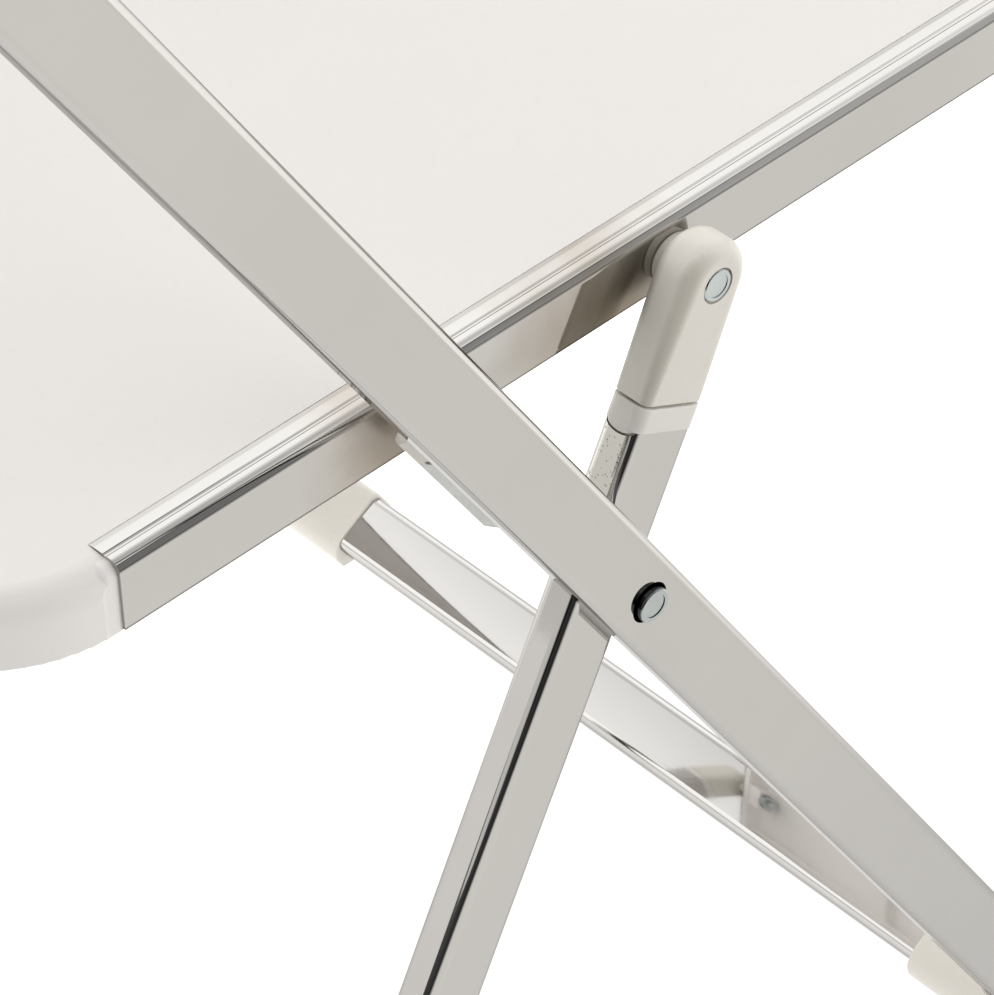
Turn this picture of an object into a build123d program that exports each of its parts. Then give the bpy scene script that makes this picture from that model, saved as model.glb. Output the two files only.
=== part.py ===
from build123d import *
import math
import os

os.makedirs("parts", exist_ok=True)

# ---------------------------------------------------------------- dimensions (mm, degrees)
WIDTH = 425.5            # across the outer faces of the two uprights
TUBE_W = 25.0            # flat oval tube, wide side
TUBE_T = 12.5            # flat oval tube, narrow side
TUBE_R = 3.4             # outer corner radius of the tube
WALL = 1.5               # tube wall
UPRIGHT_ANGLE = 56.26    # upright to floor, leaning back
SEAT_TILT = 2.06         # seat falls to the rear
LINK = 88.86             # crossing pin to knuckle pin, and knuckle pin to slide pin
FOLD = 53.0              # swing of the rear legs from open to folded
PIVOT_X = 29.18          # crossing pin, forward of the origin
PIVOT_Z = 351.8          # crossing pin above the floor
UPRIGHT_TOP = 515.0      # upright end above the crossing pin
FRONT_BAR_U = -404.1     # front floor bar axis below the crossing pin
REAR_BAR_U = -371.6      # rear floor bar axis below the crossing pin
LEG_Y = 14.6             # outer face of the rear leg, inboard of the upright's outer face
RAIL_Y = 32.2            # outer face of the seat rail
RAIL_BOTTOM, RAIL_TOP = -8.7, 13.0
RAIL_REAR, RAIL_FRONT = -191.8, 140.0
RAIL_SHEET = 1.0
RAIL_FLANGE = 43.95      # inner edge of the rail's top flange
SEAT_REAR, SEAT_FRONT = -241.6, 190.5
SEAT_SIDE = 32.45        # seat edge outside the rail zone
SEAT_CORNER = 48.5
SEAT_WALL = 3.0
PIN_D = 10.0             # crossing pin and knuckle pin
PIN_HEAD = 10.8          # standing head of the crossing pin
SLIDE_PIN_D = 8.0
FIT = 0.05               # radial play of a pin that turns in its hole
SLEEVE = 1.2             # wall of a corner elbow over the tube
ARM = 62.4               # arm of a corner elbow
FOOT_WALL = 2.4          # wall of an elbow under the floor bar
SOLE = 20.0              # reach of an elbow's sole from the leg's axis
BAR_SET = 3.1            # floor bar axis, set toward the sole from the leg's axis
BAR_TURN = 2.0           # floor bar turned on its axis, its top away from the sole
KNUCKLE_FOOT = -35.9     # lower end of the knuckle below its pin
COLLAR_TOP, COLLAR_FOOT = -36.6, -43.9
BACK_LOW, BACK_HIGH = 367.0, 495.0

OPEN_ANGLE = UPRIGHT_ANGLE + SEAT_TILT
LEG_ANGLE = 180.0 - 2.0 * OPEN_ANGLE + SEAT_TILT
Q_OPEN = 2.0 * LINK * math.cos(math.radians(OPEN_ANGLE))
Q_FOLD = 2.0 * LINK * math.cos(math.radians(OPEN_ANGLE - FOLD))
KX = PIVOT_X + LINK * math.cos(math.radians(LEG_ANGLE))
KZ = PIVOT_Z + LINK * math.sin(math.radians(LEG_ANGLE))
QX = PIVOT_X - Q_OPEN * math.cos(math.radians(UPRIGHT_ANGLE))
QZ = PIVOT_Z + Q_OPEN * math.sin(math.radians(UPRIGHT_ANGLE))
HALF = WIDTH / 2.0

# Local frames: y = 0 on the outer face of the right upright, y grows toward the left side.
FRAME = Location((PIVOT_X, -HALF, PIVOT_Z), (0, UPRIGHT_ANGLE - 90.0, 0))
LEGS = Location((PIVOT_X, -HALF, PIVOT_Z), (0, 90.0 - LEG_ANGLE, 0))
SEAT = Location((KX, -HALF, KZ), (0, -SEAT_TILT, 0))
SLIDE = Location((QX, -HALF, QZ), (0, UPRIGHT_ANGLE - 90.0, 0))


# ---------------------------------------------------------------- helpers
def box(x0, x1, y0, y1, z0, z1):
    return Pos((x0 + x1) / 2, (y0 + y1) / 2, (z0 + z1) / 2) * Box(x1 - x0, y1 - y0, z1 - z0)


def cyl_y(d, y0, y1, x=0.0, z=0.0):
    return Pos(x, (y0 + y1) / 2, z) * Rot(90, 0, 0) * Cylinder(d / 2, y1 - y0)


def bar_z(w, t, r, z0, z1, x=0.0, y=0.0):
    return Pos(x, y, z0) * extrude(RectangleRounded(w, t, r), amount=z1 - z0)


def bar_y(w, t, r, y0, y1, x=0.0, z=0.0, turn=0.0):
    face = Plane.XZ * (Pos(x, z) * Rot(0, 0, -turn) * RectangleRounded(w, t, r))
    return Pos(0, y0, 0) * extrude(face, amount=y1 - y0, dir=(0, 1, 0))


def slot_y(w, length, y0, y1, x=0.0, z=0.0):
    face = Plane.XZ * (Pos(x, z) * Rot(0, 0, 90) * SlotOverall(length, w))
    return Pos(0, y0, 0) * extrude(face, amount=y1 - y0, dir=(0, 1, 0))


def one(shape):
    got = shape.solids()
    assert len(got) == 1, len(got)
    return got[0]


def write(name, shapes):
    if not isinstance(shapes, (list, tuple)):
        shapes = [shapes]
    solids = [s for shape in shapes for s in shape.solids()]
    if len(solids) == 1:
        export_step(solids[0], "parts/%s.step" % name)
    else:
        export_step(Compound(children=[Solid(s.wrapped) for s in solids]), "parts/%s.step" % name)


def left(shape):
    return mirror(shape, about=Plane.XZ)


def pair(name, local, frame):
    right_part = frame * local
    write(name + "_right", right_part)
    write(name + "_left", left(right_part))


def both(name, locals_, frame):
    placed = [frame * s for s in locals_]
    write(name, placed + [left(s) for s in placed])


# ---------------------------------------------------------------- upright (front leg and back post in one tube)
up_y = TUBE_T / 2
elbow_foot = FRONT_BAR_U - TUBE_T / 2 - FOOT_WALL
up_foot = elbow_foot + 22.0
upright = bar_z(TUBE_W, TUBE_T, TUBE_R, up_foot, UPRIGHT_TOP, 0, up_y)
upright -= bar_z(TUBE_W - 2 * WALL, TUBE_T - 2 * WALL, TUBE_R - WALL, up_foot - 1, UPRIGHT_TOP + 1, 0, up_y)
upright -= cyl_y(12.8, -1, 3.0)                       # wide clearance hole around the pin head
upright -= cyl_y(PIN_D, 3.0, 14.0)                    # pin seat in the inner wall
SHOE = 28.0
slot_mid = (Q_OPEN + Q_FOLD) / 2
upright -= slot_y(9.0, Q_FOLD - Q_OPEN + SHOE + 1.0, TUBE_T - 3.0, TUBE_T + 1, 0, slot_mid)
screw_u = (BACK_LOW + 34.0, BACK_HIGH - 34.0)
for u in screw_u:
    upright -= cyl_y(4.5, -1, 14.0, 0, u)
pair("upright", one(upright), FRAME)

# end cap at the top of the upright
cap = bar_z(TUBE_W, TUBE_T, TUBE_R, UPRIGHT_TOP, UPRIGHT_TOP + 5.0, 0, up_y)
cap = fillet(cap.faces().sort_by(Axis.Z)[-1].edges(), 2.0)
PLUG_R = TUBE_R - WALL - 0.05
cap += bar_z(TUBE_W - 2 * WALL - 0.1, TUBE_T - 2 * WALL - 0.1, PLUG_R, UPRIGHT_TOP - 22.0, UPRIGHT_TOP, 0, up_y)
cap -= bar_z(TUBE_W - 2 * WALL - 4.0, TUBE_T - 2 * WALL - 4.0, 0.7, UPRIGHT_TOP - 23.0, UPRIGHT_TOP + 1.0, 0, up_y)
pair("upright_cap", one(cap), FRAME)


# ---------------------------------------------------------------- corner elbow between a leg tube and a floor bar
def elbow(frame, bar_u, y_out, side):
    """Socket elbow. The sole is on the side of the leg that is nearer the floor, and is cut level with it."""
    foot = bar_u - TUBE_T / 2 - FOOT_WALL
    roof = bar_u + TUBE_T / 2 + SLEEVE
    top = foot + ARM
    half = TUBE_W / 2 + SLEEVE
    y0, y1, y2 = y_out - SLEEVE, y_out + TUBE_T + SLEEVE, y_out + ARM
    stem = bar_z(2 * half, y1 - y0, TUBE_R + SLEEVE - 0.2, foot + 1.0, top, 0, (y0 + y1) / 2)
    stem = fillet(stem.faces().sort_by(Axis.Z)[-1].edges(), 0.5)
    xs, xf = side * SOLE, -side * (half - BAR_SET)
    section = make_face(Polyline((xs, foot), (xf, foot), (xf, roof), (xs, roof), close=True))

    def corner(face, x, z, r):
        return fillet([v for v in face.vertices() if abs(v.X - x) < 1e-6 and abs(v.Y - z) < 1e-6], r)

    section = corner(section, xs, roof, 9.0)
    section = corner(section, xs, foot, 3.0)
    section = corner(section, xf, roof, 2.6)
    section = corner(section, xf, foot, 3.4)
    arm = Pos(0, y0, 0) * extrude(Plane.XZ * section, amount=y2 - y0, dir=(0, 1, 0))
    arm = fillet(arm.faces().sort_by(Axis.Y)[-1].edges(), 0.5)
    body = stem + arm
    keep = make_face(Polyline((y0, foot - 1), (y2 + 1, foot - 1), (y2 + 1, top + 1), (y0, top + 1), close=True))
    keep = fillet([v for v in keep.vertices() if abs(v.X - y0) < 1e-6 and v.Y < foot], 12.0)
    body &= Pos(-60, 0, 0) * extrude(Plane.YZ * keep, amount=120, dir=(1, 0, 0))
    gusset = make_face(Polyline((y1 - 0.5, roof - 0.5), (y1 + 7.0, roof - 0.5), (y1 - 0.5, roof + 7.0), close=True))
    body += Pos(-half + 3.6, 0, 0) * extrude(Plane.YZ * gusset, amount=2 * half - 7.2, dir=(1, 0, 0))
    body -= bar_z(TUBE_W + 0.1, TUBE_T + 0.1, TUBE_R, foot + 22.0, top + 1, 0, y_out + TUBE_T / 2)
    body -= bar_y(TUBE_W + 0.1, TUBE_T + 0.1, TUBE_R, y_out + 20.0, y2 + 1, side * BAR_SET, bar_u, -side * BAR_TURN)
    placed = frame * one(body)
    return one(placed & box(-900, 900, -900, 900, 0, 900))


def floor_bar(bar_u, y_out, side):
    x = side * BAR_SET
    bar = bar_y(TUBE_W, TUBE_T, TUBE_R, y_out + 20.0, WIDTH - y_out - 20.0, x, bar_u, -side * BAR_TURN)
    bar -= bar_y(TUBE_W - 2 * WALL, TUBE_T - 2 * WALL, TUBE_R - WALL, y_out + 19.0, WIDTH - y_out - 19.0, x, bar_u, -side * BAR_TURN)
    return one(bar)


def elbow_pair(name, placed):
    write(name + "_right", placed)
    write(name + "_left", left(placed))


elbow_pair("front_elbow", elbow(FRAME, FRONT_BAR_U, 0.0, -1))
write("front_floor_bar", FRAME * floor_bar(FRONT_BAR_U, 0.0, -1))
elbow_pair("rear_elbow", elbow(LEGS, REAR_BAR_U, LEG_Y, 1))
write("rear_floor_bar", LEGS * floor_bar(REAR_BAR_U, LEG_Y, 1))

# ---------------------------------------------------------------- crossing pin, its spacer washer
leg_in = LEG_Y + TUBE_T
pin = fillet(cyl_y(PIN_HEAD, -2.2, -0.5).edges().group_by(Axis.Y)[0], 0.7)
pin -= cyl_y(7.4, -3.0, -1.95)                        # shallow dish in the head
pin += cyl_y(7.8, -0.5, 4.5)                          # narrower neck behind the head, in the wider hole
pin += cyl_y(PIN_D, 4.5, leg_in + 0.3)
pin += fillet(cyl_y(14.0, leg_in + 0.3, leg_in + 2.5).edges().group_by(Axis.Y)[-1], 1.2)
pair("crossing_pin", one(pin), FRAME)
washer = cyl_y(18.0, TUBE_T, LEG_Y - 0.3) - cyl_y(PIN_D, TUBE_T - 1, LEG_Y)
both("crossing_washers", [one(washer)], FRAME)

# ---------------------------------------------------------------- rear leg
leg_y = LEG_Y + TUBE_T / 2
leg_top = LINK + COLLAR_FOOT
leg_foot = REAR_BAR_U - TUBE_T / 2 - FOOT_WALL + 22.0
leg = bar_z(TUBE_W, TUBE_T, TUBE_R, leg_foot, leg_top, 0, leg_y)
leg -= bar_z(TUBE_W - 2 * WALL, TUBE_T - 2 * WALL, TUBE_R - WALL, leg_foot - 1, leg_top + 1, 0, leg_y)
leg -= cyl_y(PIN_D + 2 * FIT, LEG_Y - 1, leg_in + 1)
scoop = Pos(-TUBE_W / 2 + 0.5, leg_y, leg_top + 6.9) * Rot(0, 90, 0) * Cylinder(9.3, 5.0)
leg -= scoop
pair("rear_leg", one(leg), LEGS)

# collar and plug in the upper end of the rear leg
collar_z0, collar_z1 = LINK + COLLAR_FOOT, LINK + COLLAR_TOP
collar = bar_z(TUBE_W + 0.6, TUBE_T + 0.6, TUBE_R + 0.3, collar_z0, collar_z1, 0, leg_y)
collar = fillet(collar.faces().sort_by(Axis.Z)[-1].edges(), 0.3)
collar += bar_z(TUBE_W - 2 * WALL - 0.1, TUBE_T - 2 * WALL - 0.1, PLUG_R, collar_z0 - 24.0, collar_z0, 0, leg_y)
tongue = Pos(-TUBE_W / 2 + 0.7, leg_y, collar_z0 + 6.9) * Rot(0, 90, 0) * Cylinder(8.6, 1.4)
tongue &= bar_z(TUBE_W, TUBE_T, TUBE_R, collar_z0 - 10.0, collar_z0 + 0.5, 0, leg_y)
collar += tongue
collar -= bar_z(14.1, 5.1, 1.0, collar_z0 - 25.0, collar_z1 + 1, 0, leg_y)
pair("leg_collar", one(collar), LEGS)

# knuckle: a shank that grows thicker and rounder upward, round over its pin, with a tenon down into the collar
kn_y0, kn_foot, kn_y1 = LEG_Y - 0.1, leg_in + 0.15, leg_in + 2.3
kn_half = TUBE_W / 2
KN_R = 5.2
low = Pos(0, (kn_y0 + kn_foot) / 2, KNUCKLE_FOOT) * RectangleRounded(TUBE_W, kn_foot - kn_y0, 3.0)
high = Pos(0, (kn_y0 + kn_y1) / 2, 0) * RectangleRounded(TUBE_W, kn_y1 - kn_y0, KN_R)
shank = loft([low.face(), high.face()], ruled=True)
shank = fillet(shank.faces().sort_by(Axis.Z)[0].edges(), 0.6)
half_view = make_face(Polyline((0, kn_y0), (-kn_half, kn_y0), (-kn_half, kn_y1), (0, kn_y1), close=True))
half_view = fillet([v for v in half_view.vertices() if v.X < -1], KN_R)
knuckle = shank + revolve(half_view, axis=Axis.Y, revolution_arc=180)
knuckle += bar_z(14.0, 5.0, 1.0, COLLAR_FOOT - 20.0, KNUCKLE_FOOT + 1.0, 0, leg_y)
knuckle -= cyl_y(PIN_D + 2 * FIT, kn_y0 - 1, kn_y1 + 1)
knuckle -= cyl_y(PIN_D + 0.9, kn_y0 - 1, kn_y0 + 0.9)  # narrow ring groove around the pin
KNUCKLE = LEGS * Pos(0, 0, LINK)
pair("knuckle", one(knuckle), KNUCKLE)

# ---------------------------------------------------------------- seat panel
sx, sy = (SEAT_REAR + SEAT_FRONT) / 2, HALF
length, breadth = SEAT_FRONT - SEAT_REAR, WIDTH - 2 * SEAT_SIDE
plate_top = RAIL_TOP - 0.65
flange_bed = RAIL_TOP - RAIL_SHEET
rim_foot = RAIL_BOTTOM - 0.5
panel = bar_z(length, breadth, SEAT_CORNER, rim_foot, plate_top, sx, sy)
panel = fillet(panel.faces().sort_by(Axis.Z)[-1].edges(), 8.0)
panel = fillet(panel.faces().sort_by(Axis.Z)[0].edges(), 0.8)
zone0, zone1 = RAIL_REAR - 5.0, RAIL_FRONT + 5.0
bed = RAIL_Y + RAIL_SHEET
recess = make_face(Polyline((zone0 - 2.6, SEAT_SIDE - 1), (zone0 + 0.6, bed), (zone1 - 0.6, bed), (zone1 + 2.6, SEAT_SIDE - 1), close=True))
recess = Pos(0, 0, rim_foot - 1) * extrude(recess, amount=plate_top - rim_foot + 2)
panel -= recess
panel -= mirror(recess, about=Plane.XZ.offset(-HALF))
ledge = box(zone0 + 0.6, zone1 - 0.6, bed, bed + 12.0, RAIL_BOTTOM + 0.3, flange_bed)
ledge = fillet([e for e in ledge.edges().filter_by(Axis.X) if e.center().Y < bed + 1 and e.center().Z > 0], 3.6)
for i in (0, -1):
    end = [e for e in ledge.faces().sort_by(Axis.X)[i].edges() if e.center().Z > RAIL_BOTTOM + 1 and e.center().Y < bed + 11]
    ledge = fillet(end, 1.8)
ledge_left = mirror(ledge, about=Plane.XZ.offset(-HALF))
panel += ledge
panel += ledge_left
for y0, y1 in ((SEAT_SIDE - 1, RAIL_FLANGE + 0.15), (WIDTH - RAIL_FLANGE - 0.15, WIDTH - SEAT_SIDE + 1)):
    panel -= box(RAIL_REAR - 0.15, RAIL_FRONT + 0.15, y0, y1, flange_bed, plate_top + 1)
pocket = bar_z(length - 2 * SEAT_WALL - 1.5, breadth - 2 * SEAT_WALL - 1.5, SEAT_CORNER - SEAT_WALL - 0.75, rim_foot - 5, plate_top - SEAT_WALL, sx, sy)
pocket = fillet(pocket.faces().sort_by(Axis.Z)[-1].edges(), 5.0)
panel -= pocket
# moulded ribs and pin pads under the top
inner = SEAT_SIDE + SEAT_WALL
for x in (-182.0, -128.0, -45.0, 52.0, 126.0):
    panel += box(x - 1.2, x + 1.2, inner, WIDTH - inner, -1.0, plate_top - 1.0)
for y in (120.0, HALF, WIDTH - 120.0):
    panel += box(SEAT_REAR + SEAT_WALL, SEAT_FRONT - SEAT_WALL, y - 1.2, y + 1.2, 1.0, plate_top - 1.0)
pad_in = 43.0
for x in (0.0, -LINK):
    pad = box(x - 12.0, x + 12.0, inner - 0.5, pad_in, RAIL_BOTTOM + 0.4, plate_top - 1.0)
    panel += pad
    panel += mirror(pad, about=Plane.XZ.offset(-HALF))
for d, x in ((PIN_D, 0.0), (SLIDE_PIN_D, -LINK)):
    panel -= cyl_y(d, 30.0, 50.0, x)
    panel -= cyl_y(d, WIDTH - 50.0, WIDTH - 30.0, x)
write("seat_panel", SEAT * one(panel))

# ---------------------------------------------------------------- seat rail: bent sheet over the long edge of the seat
R_OUT = 3.3
GROOVE = (RAIL_Y + 4.74, RAIL_Y + 6.4)
t = RAIL_SHEET
profile = make_face(
    Polyline((RAIL_Y, RAIL_TOP - R_OUT), (RAIL_Y, RAIL_BOTTOM), (RAIL_Y + t, RAIL_BOTTOM), (RAIL_Y + t, RAIL_TOP - R_OUT)).edges()
    + ThreePointArc(
        (RAIL_Y + t, RAIL_TOP - R_OUT),
        (RAIL_Y + R_OUT - (R_OUT - t) * math.sqrt(0.5), RAIL_TOP - R_OUT + (R_OUT - t) * math.sqrt(0.5)),
        (RAIL_Y + R_OUT, RAIL_TOP - t),
    ).edges()
    + Polyline(
        (RAIL_Y + R_OUT, RAIL_TOP - t), (RAIL_FLANGE, RAIL_TOP - t), (RAIL_FLANGE, RAIL_TOP - 0.72), (RAIL_FLANGE - 2.0, RAIL_TOP - 0.18),
    ).edges()
    + ThreePointArc((RAIL_FLANGE - 2.0, RAIL_TOP - 0.18), ((RAIL_FLANGE - 2.0 + GROOVE[1]) / 2, RAIL_TOP - 0.05), (GROOVE[1], RAIL_TOP)).edges()
    + ThreePointArc((GROOVE[1], RAIL_TOP), ((GROOVE[0] + GROOVE[1]) / 2, RAIL_TOP - 0.3), (GROOVE[0], RAIL_TOP)).edges()
    + Line((GROOVE[0], RAIL_TOP), (RAIL_Y + R_OUT, RAIL_TOP)).edges()
    + ThreePointArc(
        (RAIL_Y + R_OUT, RAIL_TOP),
        (RAIL_Y + R_OUT - R_OUT * math.sqrt(0.5), RAIL_TOP - R_OUT + R_OUT * math.sqrt(0.5)),
        (RAIL_Y, RAIL_TOP - R_OUT),
    ).edges()
)
rail = Pos(RAIL_REAR, 0, 0) * extrude(Plane.YZ * profile, amount=RAIL_FRONT - RAIL_REAR, dir=(1, 0, 0))
rail -= cyl_y(PIN_D, 30, 36, 0.0)
rail -= cyl_y(SLIDE_PIN_D, 30, 36, -LINK)
pair("seat_rail", one(rail), SEAT)

# ---------------------------------------------------------------- knuckle pin, slide pin, their bosses and retainers
k_pin = cyl_y(PIN_D, kn_y0, pad_in + 4.0)
k_pin = chamfer(k_pin.edges().group_by(Axis.Y)[0], 0.35)
k_pin -= cyl_y(7.2, kn_y0 - 1, kn_y0 + 0.2)
pair("knuckle_pin", one(k_pin), SEAT)
k_boss = cyl_y(15.4, kn_y1 + 0.3, RAIL_Y)
k_boss = fillet(k_boss.edges().group_by(Axis.Y)[-1], 0.6)
k_boss -= cyl_y(PIN_D, kn_y1, RAIL_Y + 1)
both("knuckle_bosses", [one(k_boss)], SEAT)
BLOCK_IN = 26.0
s_pin = cyl_y(SLIDE_PIN_D, 4.8, pad_in + 4.0, -LINK)
pair("slide_pin", one(chamfer(s_pin.edges().group_by(Axis.Y)[0], 0.5)), SEAT)
s_boss = cyl_y(15.4, BLOCK_IN + 0.3, RAIL_Y, -LINK) - cyl_y(SLIDE_PIN_D, BLOCK_IN, RAIL_Y + 1, -LINK)
both("slide_bosses", [one(s_boss)], SEAT)
keepers = []
for d, x in ((PIN_D, 0.0), (SLIDE_PIN_D, -LINK)):
    keep = cyl_y(18.0, pad_in, pad_in + 2.6, x)
    keep = fillet(keep.edges().group_by(Axis.Y)[-1], 0.8)
    keepers.append(one(keep - cyl_y(d, pad_in - 1, pad_in + 4, x)))
both("pin_retainers", keepers, SEAT)

# ---------------------------------------------------------------- slide: split bearing on the inner face of the upright (grey block, cream cap), shoe inside the tube
S_LOW, PAD_HIGH = -44.5, 14.0
wedge = make_face(Polyline((-5.4, TUBE_T + 0.35), (5.4, TUBE_T + 0.35), (13.6, BLOCK_IN), (-13.6, BLOCK_IN), close=True))
wedge = fillet([v for v in wedge.vertices() if v.Y > BLOCK_IN - 1], 1.0)
block = Pos(0, 0, S_LOW) * extrude(wedge, amount=-S_LOW)
block &= bar_y(27.2, 70.0, 4.5, TUBE_T, BLOCK_IN + 1, 0, S_LOW + 35.0)
pad = extrude(wedge, amount=PAD_HIGH)
pad &= bar_y(27.2, 40.0, 4.0, TUBE_T, BLOCK_IN + 1, 0, PAD_HIGH - 20.0)
for x in (-10.0, 10.0):                               # pry notches at the split
    notch = Pos(x, 22.0, 0) * Rot(0, 90, 0) * Cylinder(1.1, 6.0)
    block -= notch
    pad -= notch
block -= cyl_y(SLIDE_PIN_D + 2 * FIT, 10, 30)
pad -= cyl_y(SLIDE_PIN_D + 2 * FIT, 10, 30)
pair("slide_block", one(block), SLIDE)
pair("slide_pad", one(pad), SLIDE)
shoe = bar_y(16.0, SHOE, 3.0, 4.0, TUBE_T - WALL - 0.4)
shoe += slot_y(8.3, SHOE, TUBE_T - WALL - 1.0, TUBE_T + 0.35)
shoe -= cyl_y(SLIDE_PIN_D + 2 * FIT, 3, 14)
pair("slide_shoe", one(shoe), SLIDE)

# ---------------------------------------------------------------- back panel between the uprights, and its screws
y_a, y_b = TUBE_T, WIDTH - TUBE_T
over = 8.0
curve = make_face(
    ThreePointArc((5.0, y_a - over), (-22.0, HALF), (5.0, y_b + over)).edges()
    + Line((5.0, y_b + over), (0.0, y_b + over)).edges()
    + ThreePointArc((0.0, y_b + over), (-27.0, HALF), (0.0, y_a - over)).edges()
    + Line((0.0, y_a - over), (5.0, y_a - over)).edges()
)
back = Pos(0, 0, BACK_LOW - 5.0) * extrude(curve, amount=BACK_HIGH - BACK_LOW + 10.0)
outline = Plane.YZ * (Pos(HALF, (BACK_LOW + BACK_HIGH) / 2) * RectangleRounded(y_b - y_a, BACK_HIGH - BACK_LOW, 20.0))
back &= Pos(-60, 0, 0) * extrude(outline, amount=120, dir=(1, 0, 0))
back = fillet(back.edges(), 1.6)
# round screw bosses at the ends
for u in screw_u:
    boss = cyl_y(13.0, y_a, y_a + 15.0, 0, u)
    boss = fillet(boss.edges().group_by(Axis.Y)[-1], 4.0)
    back += boss
    back += mirror(boss, about=Plane.XZ.offset(-HALF))
for u in screw_u:
    back -= cyl_y(4.5, y_a - 1, y_a + 11.0, 0, u)
    back -= cyl_y(4.5, y_b - 11.0, y_b + 1, 0, u)
write("back_panel", FRAME * one(back))
screws = []
for u in screw_u:
    s = fillet(cyl_y(9.0, -2.4, 0.0, 0, u).edges().group_by(Axis.Y)[0], 1.4)
    s += cyl_y(4.5, 0.0, y_a + 10.0, 0, u)
    s -= bar_y(3.0, 3.0, 0.3, -3.0, -1.0, 0, u)
    screws.append(one(s))
both("back_screws", screws, FRAME)
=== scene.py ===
import bpy
import math
from mathutils import Matrix, Vector

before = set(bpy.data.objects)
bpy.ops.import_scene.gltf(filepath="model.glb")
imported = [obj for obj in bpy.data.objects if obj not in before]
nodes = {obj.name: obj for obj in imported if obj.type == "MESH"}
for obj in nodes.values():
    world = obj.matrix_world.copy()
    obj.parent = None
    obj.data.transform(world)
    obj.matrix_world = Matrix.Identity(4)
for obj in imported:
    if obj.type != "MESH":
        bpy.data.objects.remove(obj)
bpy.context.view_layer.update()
scene = bpy.context.scene
scene.view_settings.view_transform = "Standard"
scene.view_settings.look = "None"


# ------------------------------------------------------------------ node helpers
def new_material(name):
    m = bpy.data.materials.new(name)
    m.use_nodes = True
    nt = m.node_tree
    return m, nt, nt.nodes["Principled BSDF"]


def add(nt, kind, **values):
    n = nt.nodes.new(kind)
    for k, v in values.items():
        if k in n.inputs:
            n.inputs[k].default_value = v
        else:
            setattr(n, k, v)
    return n


def ramp(nt, fac, stops):
    n = nt.nodes.new("ShaderNodeValToRGB")
    e = n.color_ramp.elements
    while len(e) < len(stops):
        e.new(0.5)
    for el, (p, c) in zip(e, stops):
        el.position = p
        el.color = (*c, 1.0) if len(c) == 3 else c
    nt.links.new(fac, n.inputs["Fac"])
    return n


def noise(nt, coord, scale, detail=4.0, rough=0.55, stretch=None):
    n = add(nt, "ShaderNodeTexNoise", Scale=scale, Detail=detail, Roughness=rough)
    if stretch is not None:
        mp = add(nt, "ShaderNodeMapping")
        mp.inputs["Scale"].default_value = stretch
        nt.links.new(coord, mp.inputs["Vector"])
        coord = mp.outputs["Vector"]
    nt.links.new(coord, n.inputs["Vector"])
    return n


def grey(v):
    return (v, v, v)


def calc(nt, op, a, b):
    n = add(nt, "ShaderNodeMath", operation=op)
    for i, v in enumerate((a, b)):
        if isinstance(v, (int, float)):
            n.inputs[i].default_value = v
        else:
            nt.links.new(v, n.inputs[i])
    return n.outputs[0]


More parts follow.
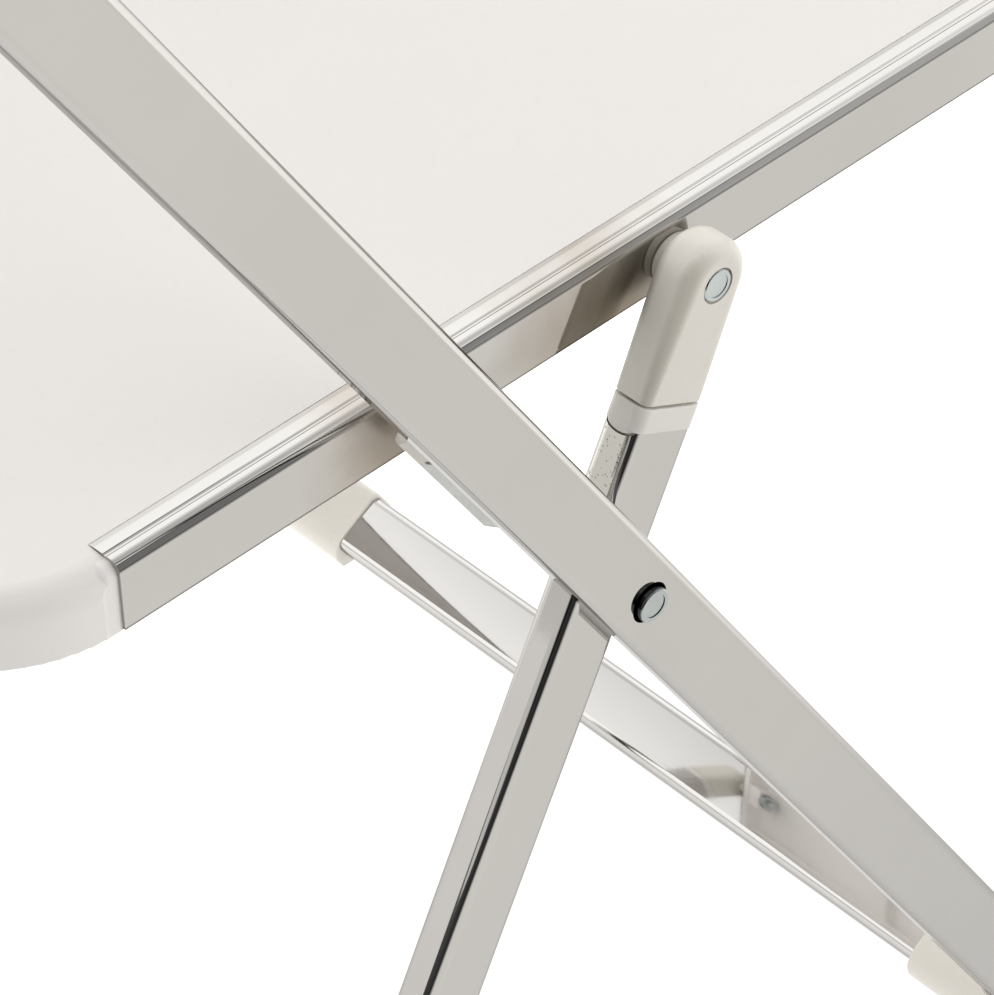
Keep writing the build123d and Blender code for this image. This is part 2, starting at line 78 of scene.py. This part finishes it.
# ------------------------------------------------------------------ materials
def chrome(name, tint, turn, pit_size=0.045, pit_from=0.60, painted_reflection_spots=None, painted_edge_line=None, pit_scale=150.0, pit_above=None, pit_face=None, crown=None, worn=None):
    """Bright plate on rolled steel: a slight waviness, hairlines along the metal, a few pits, brownish patches of
    painted dark reflection by the pivot, one of them also duller.
    """
    m, nt, p = new_material(name)
    where = add(nt, "ShaderNodeTexCoord")
    co = where.outputs["Object"]
    place = co
    along = add(nt, "ShaderNodeMapping")
    along.inputs["Rotation"].default_value = turn
    nt.links.new(co, along.inputs["Vector"])
    co = along.outputs["Vector"]
    haze = noise(nt, co, 14.0, 5.0)
    hair = noise(nt, co, 60.0, 3.0, 0.6, (26.0, 26.0, 0.5))
    pits = add(nt, "ShaderNodeTexVoronoi", Scale=pit_scale)
    nt.links.new(co, pits.inputs["Vector"])
    pit_mask = ramp(nt, pits.outputs["Distance"], [(0.0, grey(1.0)), (pit_size, grey(0.0))])
    pit_where = noise(nt, co, 22.0, 2.0)
    pit_some = ramp(nt, pit_where.outputs["Fac"], [(pit_from, grey(0.0)), (pit_from + 0.10, grey(1.0))])
    pit = add(nt, "ShaderNodeMath", operation="MULTIPLY")
    nt.links.new(pit_mask.outputs["Color"], pit.inputs[0])
    some = pit_some.outputs["Color"]
    if pit_above is not None:
        height = add(nt, "ShaderNodeSeparateXYZ")
        nt.links.new(place, height.inputs[0])
        some = calc(nt, "MULTIPLY", some, calc(nt, "GREATER_THAN", height.outputs["Z"], pit_above))
    if pit_face is not None:
        facing = add(nt, "ShaderNodeVectorMath", operation="DOT_PRODUCT")
        nt.links.new(where.outputs["Normal"], facing.inputs[0])
        facing.inputs[1].default_value = pit_face
        on_face = calc(nt, "GREATER_THAN", facing.outputs["Value"], 0.93)
        some = calc(nt, "MULTIPLY", some, on_face)
    nt.links.new(some, pit.inputs[1])
    base = ramp(nt, haze.outputs["Fac"], [(0.30, tuple(c * 0.965 for c in tint)), (0.70, tint)])
    mix = add(nt, "ShaderNodeMix", data_type="RGBA")
    nt.links.new(pit.outputs[0], mix.inputs["Factor"])
    nt.links.new(base.outputs["Color"], mix.inputs[6])
    mix.inputs[7].default_value = (0.12, 0.10, 0.085, 1.0)
    colour = mix.outputs[2]
    # rear face base colour made lighter and warmer above the pit height and darker below it
    if worn is not None:
        for part, tone in zip(("GREATER_THAN", "LESS_THAN"), worn):
            rear_face_tone_mix = add(nt, "ShaderNodeMix", data_type="RGBA", blend_type="MULTIPLY")
            nt.links.new(calc(nt, "MULTIPLY", on_face, calc(nt, part, height.outputs["Z"], pit_above)), rear_face_tone_mix.inputs["Factor"])
            nt.links.new(colour, rear_face_tone_mix.inputs[6])
            rear_face_tone_mix.inputs[7].default_value = (*tone, 1.0)
            colour = rear_face_tone_mix.outputs[2]
    dull = None
    # painted reflection: base colour darkened brownish in soft patches by the pivots, standing in for the shaded parts
    # the chrome mirrors there; dull only adds roughness
    for spot in painted_reflection_spots or ():
        shift = add(nt, "ShaderNodeMapping")
        shift.inputs["Location"].default_value = tuple(-c * k for c, k in zip(spot[0], spot[1]))
        shift.inputs["Scale"].default_value = spot[1]
        nt.links.new(place, shift.inputs["Vector"])
        size = add(nt, "ShaderNodeVectorMath", operation="LENGTH")
        nt.links.new(shift.outputs["Vector"], size.inputs[0])
        cloud = noise(nt, place, 45.0, 3.0)
        edge = calc(nt, "ADD", size.outputs["Value"], calc(nt, "MULTIPLY", cloud.outputs["Fac"], 0.5))
        mask = ramp(nt, edge, [(0.35, spot[2]), (1.0, grey(1.0))])
        if spot[3]:
            dull = ramp(nt, edge, [(0.55, grey(spot[3])), (1.0, grey(0.0))]).outputs["Color"]
        painted_reflection_tint = add(nt, "ShaderNodeMix", data_type="RGBA", blend_type="MULTIPLY")
        painted_reflection_tint.inputs["Factor"].default_value = 1.0
        nt.links.new(colour, painted_reflection_tint.inputs[6])
        nt.links.new(mask.outputs["Color"], painted_reflection_tint.inputs[7])
        colour = painted_reflection_tint.outputs[2]
    # painted shade: base colour darkened in a thin strip along the rail's lower edge
    if painted_edge_line is not None:
        level = add(nt, "ShaderNodeVectorMath", operation="DOT_PRODUCT")
        nt.links.new(place, level.inputs[0])
        level.inputs[1].default_value = painted_edge_line[0]
        line = add(nt, "ShaderNodeMapRange", interpolation_type="SMOOTHSTEP")
        line.inputs["From Min"].default_value = painted_edge_line[1] + 0.00035
        line.inputs["From Max"].default_value = painted_edge_line[1] + 0.00075
        line.inputs["To Min"].default_value = 0.42
        line.inputs["To Max"].default_value = 1.0
        nt.links.new(level.outputs["Value"], line.inputs["Value"])
        edge_line_shade = add(nt, "ShaderNodeMix", data_type="RGBA", blend_type="MULTIPLY")
        edge_line_shade.inputs["Factor"].default_value = 1.0
        nt.links.new(colour, edge_line_shade.inputs[6])
        nt.links.new(line.outputs["Result"], edge_line_shade.inputs[7])
        colour = edge_line_shade.outputs[2]
    nt.links.new(colour, p.inputs["Base Color"])
    p.inputs["Metallic"].default_value = 1.0
    p.inputs["Specular Tint"].default_value = (0.50, 0.49, 0.48, 1.0)
    r1 = ramp(nt, haze.outputs["Fac"], [(0.30, grey(0.018)), (0.72, grey(0.045))])
    r2 = ramp(nt, hair.outputs["Fac"], [(0.45, grey(0.0)), (0.78, grey(0.035))])
    rs = add(nt, "ShaderNodeMath", operation="ADD")
    nt.links.new(r1.outputs["Color"], rs.inputs[0])
    nt.links.new(r2.outputs["Color"], rs.inputs[1])
    nt.links.new(rs.outputs[0] if dull is None else calc(nt, "ADD", rs.outputs[0], dull), p.inputs["Roughness"])
    wave = noise(nt, co, 9.0, 2.0, 0.5, (1.0, 1.0, 0.35))
    b1 = add(nt, "ShaderNodeBump", Strength=0.05, Distance=0.004)
    nt.links.new(wave.outputs["Fac"], b1.inputs["Height"])
    b2 = add(nt, "ShaderNodeBump", Strength=0.25, Distance=0.0004)
    b2.invert = True
    nt.links.new(pit.outputs[0], b2.inputs["Height"])
    nt.links.new(b1.outputs["Normal"], b2.inputs["Normal"])
    if crown is not None:
        # rolled face: slightly round across its width
        across = add(nt, "ShaderNodeVectorMath", operation="DOT_PRODUCT")
        nt.links.new(place, across.inputs[0])
        across.inputs[1].default_value = crown[0]
        off = calc(nt, "SUBTRACT", across.outputs["Value"], crown[1])
        arch = calc(nt, "MULTIPLY", calc(nt, "MULTIPLY", off, off), -0.5 / crown[2])
        b0 = add(nt, "ShaderNodeBump", Strength=1.0, Distance=1.0)
        nt.links.new(arch, b0.inputs["Height"])
        nt.links.new(b0.outputs["Normal"], b1.inputs["Normal"])
    nt.links.new(b2.outputs["Normal"], p.inputs["Normal"])
    return m


def moulded(name, light, dark, rough, coat, grain, specks=0.5, side=1.0, band=None):
    """Moulded plastic: faint flow mottling, fine mould grain, slight uneven gloss; optionally sides painted lighter
    than the top (painted light) and a painted shade band along one rounded edge.
    """
    m, nt, p = new_material(name)
    where = add(nt, "ShaderNodeTexCoord")
    co = where.outputs["Object"]
    flow = noise(nt, co, 5.0, 5.0, 0.5)
    fine = noise(nt, co, grain, 3.0, 0.6)
    spots = noise(nt, co, 300.0, 2.0, 0.5)
    base = ramp(nt, flow.outputs["Fac"], [(0.32, dark), (0.68, light)])
    speck = ramp(nt, spots.outputs["Fac"], [(0.30, grey(0.93)), (0.37, grey(1.0))])
    mul = add(nt, "ShaderNodeMix", data_type="RGBA", blend_type="MULTIPLY")
    mul.inputs["Factor"].default_value = specks
    nt.links.new(base.outputs["Color"], mul.inputs[6])
    nt.links.new(speck.outputs["Color"], mul.inputs[7])
    colour = mul.outputs[2]
    # painted light: sideways faces keep the full base colour, upward faces are darkened by 1/side, so the sides read
    # lighter than the top
    if side != 1.0:
        upward = add(nt, "ShaderNodeSeparateXYZ")
        nt.links.new(where.outputs["Normal"], upward.inputs[0])
        painted_side_shade_ramp = ramp(nt, upward.outputs["Z"], [(0.35, grey(1.0)), (0.95, grey(1.0 / side))])
        painted_side_light = add(nt, "ShaderNodeMix", data_type="RGBA", blend_type="MULTIPLY")
        painted_side_light.inputs["Factor"].default_value = 1.0
        nt.links.new(colour, painted_side_light.inputs[6])
        nt.links.new(painted_side_shade_ramp.outputs["Color"], painted_side_light.inputs[7])
        colour = painted_side_light.outputs[2]
    if band is not None:
        # painted shade: a soft darker band in the base colour along the rounded edge between the rear and the outer
        # face
        part = add(nt, "ShaderNodeSeparateXYZ")
        nt.links.new(where.outputs["Normal"], part.inputs[0])
        near = calc(nt, "ADD", calc(nt, "MULTIPLY", part.outputs["X"], -0.643), calc(nt, "ADD", calc(nt, "MULTIPLY", calc(nt, "ABSOLUTE", part.outputs["Y"], 0.0), 0.707), calc(nt, "MULTIPLY", part.outputs["Z"], 0.294)))
        shade = ramp(nt, near, [(0.74, grey(1.0)), (0.97, band)])
        soft = add(nt, "ShaderNodeMix", data_type="RGBA", blend_type="MULTIPLY")
        soft.inputs["Factor"].default_value = 1.0
        nt.links.new(colour, soft.inputs[6])
        nt.links.new(shade.outputs["Color"], soft.inputs[7])
        colour = soft.outputs[2]
    nt.links.new(colour, p.inputs["Base Color"])
    rr = ramp(nt, flow.outputs["Fac"], [(0.30, grey(rough + 0.05)), (0.70, grey(rough - 0.04))])
    nt.links.new(rr.outputs["Color"], p.inputs["Roughness"])
    p.inputs["Coat Weight"].default_value = coat
    p.inputs["Coat Roughness"].default_value = 0.25
    p.inputs["IOR"].default_value = 1.5
    b = add(nt, "ShaderNodeBump", Strength=0.12, Distance=0.0003)
    nt.links.new(fine.outputs["Fac"], b.inputs["Height"])
    nt.links.new(b.outputs["Normal"], p.inputs["Normal"])
    return m


def plated(name, light, dark, rough, side=1.0, grain=0.05):
    """Zinc plated or cast metal: cloudy tone, turned marks, soft gloss, painted shade darkening the turned side."""
    m, nt, p = new_material(name)
    where = add(nt, "ShaderNodeTexCoord")
    co = where.outputs["Object"]
    cloud = noise(nt, co, 90.0, 4.0)
    fine = noise(nt, co, 900.0, 3.0, 0.7, (1.0, 0.15, 1.0))
    base = ramp(nt, cloud.outputs["Fac"], [(0.34, dark), (0.66, light)])
    # painted shade: base colour darkened on the faces that do not point along Y, the turned side
    turned = add(nt, "ShaderNodeSeparateXYZ")
    nt.links.new(where.outputs["Normal"], turned.inputs[0])
    painted_side_shade_ramp = ramp(nt, calc(nt, "ABSOLUTE", turned.outputs["Y"], 0.0), [(0.45, grey(side)), (0.80, grey(1.0))])
    tone = add(nt, "ShaderNodeMix", data_type="RGBA", blend_type="MULTIPLY")
    tone.inputs["Factor"].default_value = 1.0
    nt.links.new(base.outputs["Color"], tone.inputs[6])
    nt.links.new(painted_side_shade_ramp.outputs["Color"], tone.inputs[7])
    nt.links.new(tone.outputs[2], p.inputs["Base Color"])
    p.inputs["Metallic"].default_value = 1.0
    rr = ramp(nt, fine.outputs["Fac"], [(0.30, grey(rough - 0.05)), (0.70, grey(rough + 0.05))])
    nt.links.new(rr.outputs["Color"], p.inputs["Roughness"])
    b = add(nt, "ShaderNodeBump", Strength=grain, Distance=0.0002)
    nt.links.new(fine.outputs["Fac"], b.inputs["Height"])
    nt.links.new(b.outputs["Normal"], p.inputs["Normal"])
    return m


UPRIGHT_TURN = (0.0, math.radians(33.5), 0.0)
LEG_TURN = (0.0, math.radians(-25.3), 0.0)
BAR_TURN = (math.radians(90.0), 0.0, 0.0)
RAIL_TURN = (0.0, math.radians(-87.7), 0.0)
TINT = (0.585, 0.576, 0.562)
TILT = math.radians(2.06)
RAIL_UP = (-math.sin(TILT), 0.0, math.cos(TILT))
RAIL_FOOT = -0.0661425 * math.sin(TILT) + 0.4326076 * math.cos(TILT) - 0.0087
m_upright = chrome("chrome_upright", TINT, UPRIGHT_TURN)
m_leg = chrome("chrome_leg", TINT, LEG_TURN, 0.30, 0.26, None, None, 760.0, 0.372, (-math.cos(math.radians(24.58)), 0.0, math.sin(math.radians(24.58))), worn=((1.08, 1.08, 1.01), (0.94, 0.925, 0.915)))
UA = math.radians(56.26)
ACROSS = (math.sin(UA), 0.0, math.cos(UA))
m_bar = chrome("chrome_bar", TINT, BAR_TURN)
m_front_bar = chrome("chrome_front_bar", TINT, BAR_TURN, crown=(ACROSS, 0.02918 * math.sin(UA) + 0.3518 * math.cos(UA) - 0.0063, 0.377))
# rail: brownish patches of painted dark reflection by the pivots, and a painted shade line along its lower edge
m_rail = chrome("chrome_rail", TINT, RAIL_TURN, 0.045, 0.60, (((0.038, 0.0, 0.430), (17.0, 0.0, 30.0), (0.66, 0.585, 0.50), 0.0), ((-0.036, 0.0, 0.424), (24.0, 0.0, 24.0), (0.80, 0.72, 0.64), 0.30)), (RAIL_UP, RAIL_FOOT))
# seat shell: sides painted lighter than the top (painted light)
m_white = moulded("white_shell", (0.864, 0.841, 0.818), (0.845, 0.822, 0.799), 0.40, 0.10, 700.0, 0.2, 1.13)
# painted shade: the seat's white plastic with a darker base colour for the back panel, so the bright floor glow does
# not wash it out
m_back_painted_darker = moulded("white_back", (0.700, 0.681, 0.662), (0.684, 0.665, 0.647), 0.40, 0.10, 700.0, 0.2)
m_cream = moulded("cream_plastic", (0.735, 0.705, 0.648), (0.700, 0.670, 0.612), 0.46, 0.05, 900.0)
# knuckle: cream plastic with a painted shade band along its rounded rear edge
m_knuckle = moulded("knuckle_plastic", (0.735, 0.705, 0.648), (0.700, 0.670, 0.612), 0.46, 0.05, 900.0, band=(0.77, 0.765, 0.74))
m_collar = moulded("collar_plastic", (0.745, 0.725, 0.690), (0.715, 0.695, 0.660), 0.46, 0.05, 900.0)
m_zinc = plated("zinc_plate", (0.60, 0.645, 0.650), (0.54, 0.585, 0.595), 0.28, 0.55, 0.02)
# painted shade: a darker copy of the zinc plate for the crossing pin, with a much darker turned side
m_zinc_painted_darker = plated("zinc_rivet", (0.47, 0.505, 0.505), (0.41, 0.445, 0.45), 0.22, 0.16, 0.02)
m_cast = plated("cast_slide", (0.525, 0.530, 0.518), (0.460, 0.465, 0.452), 0.42)

LOOK = {
    "upright": m_upright, "rear_leg": m_leg, "front_floor_bar": m_front_bar, "rear_floor_bar": m_bar, "seat_rail": m_rail,
    "seat_panel": m_white, "back_panel": m_back_painted_darker,
    "crossing_pin": m_zinc_painted_darker, "knuckle_pin": m_zinc, "slide_pin": m_zinc, "back_screws": m_zinc, "pin_retainers": m_zinc,
    "slide_block": m_cast, "leg_collar": m_collar, "knuckle": m_knuckle,
}
for name, obj in nodes.items():
    kind = name.replace("_right", "").replace("_left", "")
    obj.data.materials.clear()
    obj.data.materials.append(LOOK.get(kind, m_cream))

# ------------------------------------------------------------------ floor, world
def step(nt, value, lo, hi, a=0.0, b=1.0):
    n = add(nt, "ShaderNodeMapRange", interpolation_type="SMOOTHSTEP")
    n.inputs["From Min"].default_value = lo
    n.inputs["From Max"].default_value = hi
    n.inputs["To Min"].default_value = a
    n.inputs["To Max"].default_value = b
    nt.links.new(value, n.inputs["Value"])
    return n.outputs["Result"]


def dot(nt, vector, way):
    n = add(nt, "ShaderNodeVectorMath", operation="DOT_PRODUCT")
    nt.links.new(vector, n.inputs[0])
    n.inputs[1].default_value = way
    return n.outputs["Value"]


def toward(azimuth, elevation):
    a, e = math.radians(azimuth), math.radians(elevation)
    return (math.cos(a) * math.cos(e), math.sin(a) * math.cos(e), math.sin(e))


floor_mesh = bpy.data.meshes.new("floor")
F = 6.0
floor_mesh.from_pydata([(-F, -F, 0), (F, -F, 0), (F, F, 0), (-F, F, 0)], [], [(0, 1, 2, 3)])
floor = bpy.data.objects.new("floor", floor_mesh)
scene.collection.objects.link(floor)
# painted light: the floor glows through emission, brighter on the far side and in pools under and beside the chair,
# dimmer and warmer towards the camera side; its base colour is painted darker towards the camera side (painted shade)
m, nt, p = new_material("floor_paper")
co = add(nt, "ShaderNodeTexCoord").outputs["Object"]
n1 = noise(nt, co, 1.5, 4.0)
c1 = ramp(nt, n1.outputs["Fac"], [(0.3, (0.200, 0.199, 0.197)), (0.7, (0.220, 0.219, 0.217))])
far = step(nt, dot(nt, co, (0.75, 0.66, 0.0)), 0.08, 0.42, 1.0, 1.75)
painted_falloff = calc(nt, "MAXIMUM", step(nt, dot(nt, co, (0.0, -1.0, 0.0)), 0.95, 1.35, 0.0, 0.6), step(nt, dot(nt, co, (-0.6, -0.8, 0.0)), 0.9, 1.6))
spread = add(nt, "ShaderNodeVectorMath", operation="DISTANCE")
nt.links.new(co, spread.inputs[0])
spread.inputs[1].default_value = (-0.05, 0.10, 0.0)
glow_pool_under_chair = step(nt, spread.outputs["Value"], 0.18, 0.48, 1.12, 1.0)
glow_pool_beside_chair = calc(nt, "ADD", 1.0, calc(nt, "MULTIPLY", step(nt, dot(nt, co, (0.0, 1.0, 0.0)), -0.25, -0.16, 0.0, 0.18), step(nt, dot(nt, co, (1.0, 0.0, 0.0)), -0.30, 0.0)))
painted_floor_glow = calc(nt, "MULTIPLY", calc(nt, "MAXIMUM", calc(nt, "MAXIMUM", far, glow_pool_under_chair), glow_pool_beside_chair), calc(nt, "MULTIPLY", step(nt, dot(nt, co, (0.0, -1.0, 0.0)), 0.30, 0.75, 1.0, 0.91), calc(nt, "SUBTRACT", 1.0, painted_falloff)))
tone = add(nt, "ShaderNodeMix", data_type="RGBA", blend_type="MULTIPLY")
tone.inputs["Factor"].default_value = 1.0
nt.links.new(c1.outputs["Color"], tone.inputs[6])
nt.links.new(calc(nt, "SUBTRACT", 1.0, painted_falloff), tone.inputs[7])
nt.links.new(tone.outputs[2], p.inputs["Base Color"])
p.inputs["Roughness"].default_value = 0.9
painted_glow_colour = ramp(nt, n1.outputs["Fac"], [(0.3, (0.795, 0.790, 0.779)), (0.7, (0.815, 0.810, 0.799))])
painted_glow_mix = add(nt, "ShaderNodeMix", data_type="RGBA", blend_type="MULTIPLY")
painted_glow_mix.inputs["Factor"].default_value = 1.0
nt.links.new(painted_glow_colour.outputs["Color"], painted_glow_mix.inputs[6])
nt.links.new(painted_floor_glow, painted_glow_mix.inputs[7])
near = step(nt, dot(nt, co, (0.0, -1.0, 0.0)), 0.22, 0.45)
warmth = add(nt, "ShaderNodeMix", data_type="RGBA", blend_type="MULTIPLY")
nt.links.new(near, warmth.inputs["Factor"])
nt.links.new(painted_glow_mix.outputs[2], warmth.inputs[6])
warmth.inputs[7].default_value = (1.0, 0.983, 0.950, 1.0)
nt.links.new(warmth.outputs[2], p.inputs["Emission Color"])
p.inputs["Emission Strength"].default_value = 1.0
floor_mesh.materials.append(m)

world = bpy.data.worlds.new("studio")
scene.world = world
world.use_nodes = True
wt = world.node_tree
bg = wt.nodes["Background"]
way = add(wt, "ShaderNodeTexCoord").outputs["Generated"]
up = dot(wt, way, (0.0, 0.0, 1.0))
# large light wall on the far side, softer ceiling, unlit room behind the camera
wall = step(wt, up, 0.67, 0.96, 1.62, 0.62)
wall = calc(wt, "MULTIPLY", wall, step(wt, up, 0.06, 0.42, 0.53, 1.0))
near_side = step(wt, dot(wt, way, toward(-95.0, 0.0)), 0.15, 0.45)
below = step(wt, up, 0.68, 0.74, 1.0, 0.0)
room = calc(wt, "MULTIPLY", near_side, below)
lit = calc(wt, "ADD", calc(wt, "MULTIPLY", wall, calc(wt, "SUBTRACT", 1.0, room)), calc(wt, "MULTIPLY", room, step(wt, dot(wt, way, (1.0, 0.0, 0.0)), 0.44, 0.60, 0.24, 0.62)))
edge = calc(wt, "MULTIPLY", calc(wt, "MULTIPLY", near_side, step(wt, up, 0.68, 0.71)), step(wt, up, 0.74, 0.78, 1.0, 0.0))
door = step(wt, dot(wt, way, toward(-131.0, -3.0)), 0.78, 0.90)
dark = calc(wt, "MAXIMUM", edge, door)
lit = calc(wt, "MULTIPLY", lit, calc(wt, "SUBTRACT", 1.0, calc(wt, "MULTIPLY", dark, 0.96)))
warm = add(wt, "ShaderNodeMix", data_type="RGBA", blend_type="MULTIPLY")
warm.inputs["Factor"].default_value = 1.0
wt.links.new(lit, warm.inputs[6])
warm.inputs[7].default_value = (1.0, 0.992, 0.978, 1.0)
wt.links.new(warm.outputs[2], bg.inputs["Color"])
bg.inputs["Strength"].default_value = 1.0

# broad soft fill from the front, for the plastic only
fill_data = bpy.data.lights.new("front_fill", "AREA")
fill_data.shape = "RECTANGLE"
fill_data.size = 2.2
fill_data.size_y = 1.4
fill_data.energy = 28.0
fill = bpy.data.objects.new("front_fill", fill_data)
aim = Vector(toward(-72.0, 22.0))
fill.location = Vector((0.0, -0.2, 0.35)) + 2.4 * aim
fill.rotation_euler = (-aim).to_track_quat("-Z", "Y").to_euler()
fill.visible_glossy = False
fill.visible_camera = False
scene.collection.objects.link(fill)

# ------------------------------------------------------------------ camera, solved from the photo's edges
PIVOT = Vector((0.02918, -0.21275, 0.3518))
EL, AZ, ROLL = 0.712656, 0.770780, 0.011346
FOCAL_PX = 4440.42
SHIFT = Vector((0.0414216, 0.0284341, 1.204648))
ax = Vector((math.cos(AZ), -math.sin(AZ) * math.sin(EL), math.sin(AZ) * math.cos(EL)))
ay = Vector((-math.sin(AZ), -math.cos(AZ) * math.sin(EL), math.cos(AZ) * math.cos(EL)))
az = Vector((0.0, -math.cos(EL), -math.sin(EL)))
rows = Matrix((
    (ax.x, ay.x, az.x),
    (ax.y, ay.y, az.y),
    (ax.z, ay.z, az.z),
))
spin = Matrix(((math.cos(ROLL), -math.sin(ROLL), 0), (math.sin(ROLL), math.cos(ROLL), 0), (0, 0, 1)))
rows = spin @ rows
eye = PIVOT - rows.transposed() @ SHIFT
cam_data = bpy.data.cameras.new("camera")
cam_data.sensor_fit = "HORIZONTAL"
cam_data.sensor_width = 36.0
cam_data.lens = FOCAL_PX / 994.0 * 36.0
cam_data.clip_start = 0.05
cam_data.clip_end = 50.0
cam = bpy.data.objects.new("camera", cam_data)
right, down, ahead = rows[0], rows[1], rows[2]
cam.matrix_world = Matrix((
    (right[0], -down[0], -ahead[0], eye.x),
    (right[1], -down[1], -ahead[1], eye.y),
    (right[2], -down[2], -ahead[2], eye.z),
    (0, 0, 0, 1),
))
scene.collection.objects.link(cam)
scene.camera = cam
